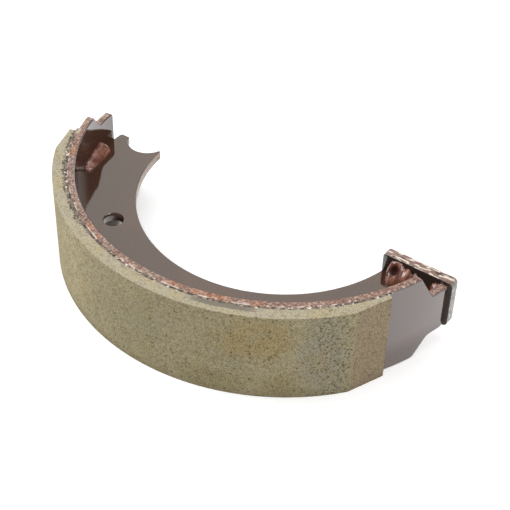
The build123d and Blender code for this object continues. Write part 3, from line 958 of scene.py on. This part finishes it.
# stage: pale floor, soft light and the camera
stageLook = {
    "floorSize": 3.0,
    "floorDrop": 0.02 * millimetre,
    "floorColour": (0.8, 0.8, 0.8, 1.0),
    "addedSeen": 0.5,           # light added to the floor for the camera, over which its shadow still shows
    "addedMirrored": 0.7,       # and added to it in reflections
    # painted shadow: the floor under the shoe's anchor half is darkened and gets none of the added light, and
    # this shows through the spring hole: its colour, then where it sets in from the drum's axis, ends further
    # out, and sets in along Y and X
    "paintedShadowColour": (0.36, 0.31, 0.28, 1.0),
    "underInner": (56.5 * millimetre, 61.0 * millimetre),
    "underOuter": (80.5 * millimetre, 78.5 * millimetre),
    "underY": (-5.0 * millimetre, -14.0 * millimetre),
    "underX": (-25.0 * millimetre, -45.0 * millimetre),
    "worldStrength": 0.5,
    "backStrength": 1.0,        # the white backdrop, seen by the camera and in reflections
    "frontStrength": 0.22,      # the unlit side of the studio, in reflections only
    "cornerShare": 0.2,         # how much of the backdrop's light is left past its right edge
    # where these two set in and are full, by the X and Y of the way that a ray takes
    "frontY": (-0.25, -0.5),
    "cornerX": (-0.25, 0.05),
    "cornerY": (0.45, 0.65),
    "white": (1.0, 1.0, 1.0, 1.0),
    "lamps": [
        # name, place, aimed at, size across and deep, watts
        ("overheadSoftbox", (0.0, 0.05, 1.1), (0.0, -0.04, 0.0), 0.8, 0.8, 3.8),
        ("leftSoftbox", (-0.95, -0.3, 0.45), (0.0, -0.04, 0.0), 0.6, 0.8, 6.5),
        ("rightFill", (0.95, -0.25, 0.45), (0.0, -0.04, 0.0), 0.5, 0.5, 2.0),
    ],
}


def rayKinds(tree):
    # Masks for the rays that come from the camera, and for those in reflections
    path = tree.nodes.new("ShaderNodeLightPath").outputs
    return path["Is Camera Ray"], maths(tree, "MAXIMUM", path["Is Glossy Ray"], path["Is Transmission Ray"])


def makeFloorPaint():
    look = stageLook
    material = bpy.data.materials.new("paleFloor")
    material.use_nodes = True
    tree = material.node_tree
    tree.nodes.remove(tree.nodes["Principled BSDF"])
    place = tree.nodes.new("ShaderNodeTexCoord").outputs["Object"]
    radius = vectorMaths(tree, "LENGTH", place)["Value"]
    spot = axes(tree, place)
    # painted shadow under the shoe's anchor half: the floor's colour darkens and its added glow fades there
    under = times(tree, ramp(tree, radius, *look["underInner"]), ramp(tree, radius, *look["underOuter"]),
                  ramp(tree, spot["Y"], *look["underY"]), ramp(tree, spot["X"], *look["underX"]))
    colour = blend(tree, under, look["floorColour"], look["paintedShadowColour"])
    plain = put(tree, "ShaderNodeBsdfDiffuse", {"Color": colour}).outputs[0]
    seen, mirrored = rayKinds(tree)
    added = maths(tree, "ADD", times(tree, seen, look["addedSeen"]),
                  times(tree, mirrored, look["addedMirrored"]))
    glow = put(tree, "ShaderNodeEmission", {"Strength": times(tree, added, between(tree, under, 1.0, 0.0))})
    lifted = put(tree, "ShaderNodeAddShader", {0: plain, 1: glow.outputs[0]}).outputs[0]
    tree.links.new(lifted, tree.nodes["Material Output"].inputs["Surface"])
    return material


def makeFloor():
    floor = bpy.data.meshes.new("floor")
    half = stageLook["floorSize"] / 2
    corners = [(-half, -half, 0), (half, -half, 0), (half, half, 0), (-half, half, 0)]
    floor.from_pydata(corners, [], [(0, 1, 2, 3)])
    piece = bpy.data.objects.new("floor", floor)
    piece.location.z = -stageLook["floorDrop"]
    bpy.context.scene.collection.objects.link(piece)
    floor.materials.append(makeFloorPaint())


def makeStudio():
    # Reflections see a white backdrop, and a dim studio in front and past the backdrop's right edge
    look = stageLook
    world = bpy.data.worlds.new("studio")
    bpy.context.scene.world = world
    world.use_nodes = True
    tree = world.node_tree
    tree.nodes.remove(tree.nodes["Background"])
    seen, mirrored = rayKinds(tree)
    way = axes(tree, tree.nodes.new("ShaderNodeTexCoord").outputs["Generated"])
    front = times(tree, ramp(tree, way["Y"], *look["frontY"]), mirrored)
    corner = times(tree, ramp(tree, way["X"], *look["cornerX"]), ramp(tree, way["Y"], *look["cornerY"]),
                   mirrored)
    strength = times(tree, between(tree, front, look["backStrength"], look["frontStrength"]),
                     between(tree, corner, 1.0, look["cornerShare"]))
    light = put(tree, "ShaderNodeBackground", {"Color": look["white"], "Strength": look["worldStrength"]})
    back = put(tree, "ShaderNodeBackground", {"Color": look["white"], "Strength": strength})
    direct = maths(tree, "MAXIMUM", seen, mirrored)
    mixed = put(tree, "ShaderNodeMixShader", {0: direct, 1: light.outputs[0], 2: back.outputs[0]}).outputs[0]
    tree.links.new(mixed, tree.nodes["World Output"].inputs["Surface"])


def makeLamps():
    for name, place, target, across, deep, power in stageLook["lamps"]:
        lamp = bpy.data.lights.new(name, "AREA")
        lamp.shape = "RECTANGLE"
        lamp.size = across
        lamp.size_y = deep
        lamp.energy = power
        holder = bpy.data.objects.new(name, lamp)
        holder.location = place
        holder.rotation_euler = (Vector(target) - Vector(place)).to_track_quat("-Z", "Y").to_euler()
        bpy.context.scene.collection.objects.link(holder)


cameraPlace = {
    "position": (0.200955, -0.309444, 0.310386),
    "turned": (49.1294, -1.3692, 35.4488),    # degrees about X, Y and Z
    "lens": 92.093,
    "sensor": 36.0,
    "nearest": 0.01,
}


def makeCamera():
    look = cameraPlace
    camera = bpy.data.cameras.new("camera")
    camera.lens = look["lens"]
    camera.sensor_width = look["sensor"]
    camera.clip_start = look["nearest"]
    holder = bpy.data.objects.new("camera", camera)
    holder.location = look["position"]
    holder.rotation_euler = Euler([math.radians(value) for value in look["turned"]], "XYZ")
    bpy.context.scene.collection.objects.link(holder)
    bpy.context.scene.camera = holder


makeFloor()
makeStudio()
makeLamps()
makeCamera()
bpy.context.scene.view_settings.view_transform = "Standard"
print("stage and camera set")
